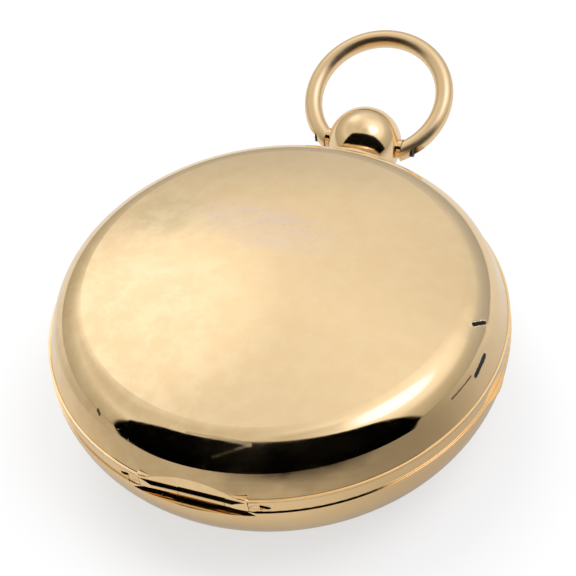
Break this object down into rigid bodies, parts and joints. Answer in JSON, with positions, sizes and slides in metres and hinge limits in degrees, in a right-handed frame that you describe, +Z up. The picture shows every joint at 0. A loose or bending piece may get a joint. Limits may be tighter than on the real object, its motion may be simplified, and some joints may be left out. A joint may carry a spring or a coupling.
{
  "type": "pocket chronometer",
  "caption": "Hunter-cased pocket chronometer with hinged front and back covers, ball pendant with swinging bow, and a geared movement with detent escapement inside.",
  "frame": {"origin": "middle of the small worn flat under the back cover", "axes": "+Y from the middle of the case to the pendant and bow, +Z up through the dial and front cover, +X towards three o'clock"},
  "size_m": [0.0555, 0.0767, 0.0212],
  "materials": {
    "gold": "polished",
    "gilt": "matte gilt",
    "steel": "polished",
    "blued_steel": "blued",
    "crystal": "clear",
    "enamel": "glossy white",
    "ruby": "polished"
  },
  "bodies": {
    "case": {"case_band": "gold", "front_joint_pin": "gold", "back_joint_pin": "gold", "inner_dome": "gold", "bezel": "gold", "glass": "crystal", "pendant": "gold", "bow_screws": "blued_steel", "lift_spring": "blued_steel", "spring_screws": "blued_steel", "dial_plate": "gilt", "train_plate": "gilt", "plate_pillars": "gilt", "plate_screws": "blued_steel", "case_screws": "blued_steel", "click_spring": "blued_steel", "escape_cock": "gilt", "cock_screws": "blued_steel", "detent_foot": "blued_steel", "balance_spring": "blued_steel", "spring_stud": "steel", "balance_cock": "gilt", "jewels": "ruby", "dial": "enamel"},
    "front_cover": {"front_cover": "gold"},
    "back_cover": {"back_cover": "gold"},
    "bow": {"bow": "gold"},
    "push_piece": {"push_piece": "gold"},
    "lock_spring": {"lock_spring": "blued_steel"},
    "barrel": {"barrel": "gilt", "barrel_cover": "gilt", "mainspring": "steel"},
    "winding_work": {"winding_arbor": "steel", "ratchet_wheel": "steel"},
    "click": {"click": "steel"},
    "centre_work": {"centre_wheel": "gilt", "cannon_pinion": "steel", "minute_hand": "blued_steel"},
    "third_wheel": {"third_wheel": "gilt"},
    "fourth_work": {"fourth_wheel": "gilt", "seconds_hand": "blued_steel"},
    "escape_wheel": {"escape_wheel": "gilt"},
    "minute_wheel": {"minute_wheel": "gilt"},
    "hour_work": {"hour_wheel": "gilt", "hour_hand": "blued_steel"},
    "balance": {"balance_wheel": "gilt", "balance_weights": "gilt", "balance_staff": "steel", "impulse_roller": "steel", "discharge_roller": "steel"},
    "detent": {"detent": "blued_steel"}
  },
  "joints": [
    {"name": "front_cover_hinge", "type": "hinge", "parent": "case", "child": "front_cover", "pos_m": [0, -0.0263, 0.01236], "axis": [1, 0, 0], "range_deg": [0, 95]},
    {"name": "back_cover_hinge", "type": "hinge", "parent": "case", "child": "back_cover", "pos_m": [-0.0266, 0, 0.01236], "axis": [0, 1, 0], "range_deg": [0, 95]},
    {"name": "bow_swing", "type": "hinge", "parent": "case", "child": "bow", "pos_m": [0, 0.03332, 0.01236], "axis": [1, 0, 0], "range_deg": [-144, 106]},
    {"name": "push_slide", "type": "slide", "parent": "case", "child": "push_piece", "axis": [0, -1, 0], "range_m": [-0.0005, 0]},
    {"name": "lock_spring_turn", "type": "hinge", "parent": "case", "child": "lock_spring", "pos_m": [0.0168, 0.01932, 0.01324], "axis": [0, 0, 1], "range_deg": [-2, 0.2]},
    {"name": "winding_spin", "type": "hinge", "parent": "case", "child": "winding_work", "pos_m": [0.00546, 0.00946, 0.005], "axis": [0, 0, 1], "continuous": true},
    {"name": "click_pivot", "type": "hinge", "parent": "case", "child": "click", "pos_m": [0.01053, 0.0113, 0.0057], "axis": [0, 0, 1], "range_deg": [-6, 0]},
    {"name": "fourth_spin", "type": "hinge", "parent": "case", "child": "fourth_work", "pos_m": [0, -0.01, 0.009], "axis": [0, 0, 1], "continuous": true},
    {"name": "third_spin", "type": "hinge", "parent": "case", "child": "third_wheel", "pos_m": [0.00383, -0.00567, 0.009], "axis": [0, 0, 1], "continuous": true},
    {"name": "centre_spin", "type": "hinge", "parent": "case", "child": "centre_work", "pos_m": [0, 0, 0.009], "axis": [0, 0, 1], "continuous": true},
    {"name": "barrel_spin", "type": "hinge", "parent": "case", "child": "barrel", "pos_m": [0.00546, 0.00946, 0.009], "axis": [0, 0, 1], "continuous": true},
    {"name": "escape_spin", "type": "hinge", "parent": "case", "child": "escape_wheel", "pos_m": [-0.00474, -0.01172, 0.009], "axis": [0, 0, 1], "continuous": true},
    {"name": "minute_wheel_spin", "type": "hinge", "parent": "case", "child": "minute_wheel", "pos_m": [0.00364, 0.0021, 0.0133], "axis": [0, 0, 1], "continuous": true},
    {"name": "hour_spin", "type": "hinge", "parent": "case", "child": "hour_work", "pos_m": [0, 0, 0.0138], "axis": [0, 0, 1], "continuous": true},
    {"name": "balance_swing", "type": "hinge", "parent": "case", "child": "balance", "pos_m": [-0.00987, -0.01127, 0.008], "axis": [0, 0, 1], "range_deg": [-220, 220], "stiffness_Nm_per_rad": 0.000003},
    {"name": "detent_flex", "type": "hinge", "parent": "case", "child": "detent", "pos_m": [-0.00373, -0.01807, 0.0093], "axis": [0, 0, 1], "range_deg": [-1.2, 2.5], "stiffness_Nm_per_rad": 0.0002}
  ],
  "couplings": [
    {"joint": "lock_spring_turn", "follows": "push_slide", "rad_per_m": 59.541},
    {"joint": "third_spin", "follows": "fourth_spin", "ratio": -0.13333},
    {"joint": "centre_spin", "follows": "fourth_spin", "ratio": 0.016667},
    {"joint": "barrel_spin", "follows": "fourth_spin", "ratio": -0.0027778},
    {"joint": "escape_spin", "follows": "fourth_spin", "ratio": -8},
    {"joint": "minute_wheel_spin", "follows": "fourth_spin", "ratio": -0.0055556},
    {"joint": "hour_spin", "follows": "fourth_spin", "ratio": 0.0013889}
  ]
}
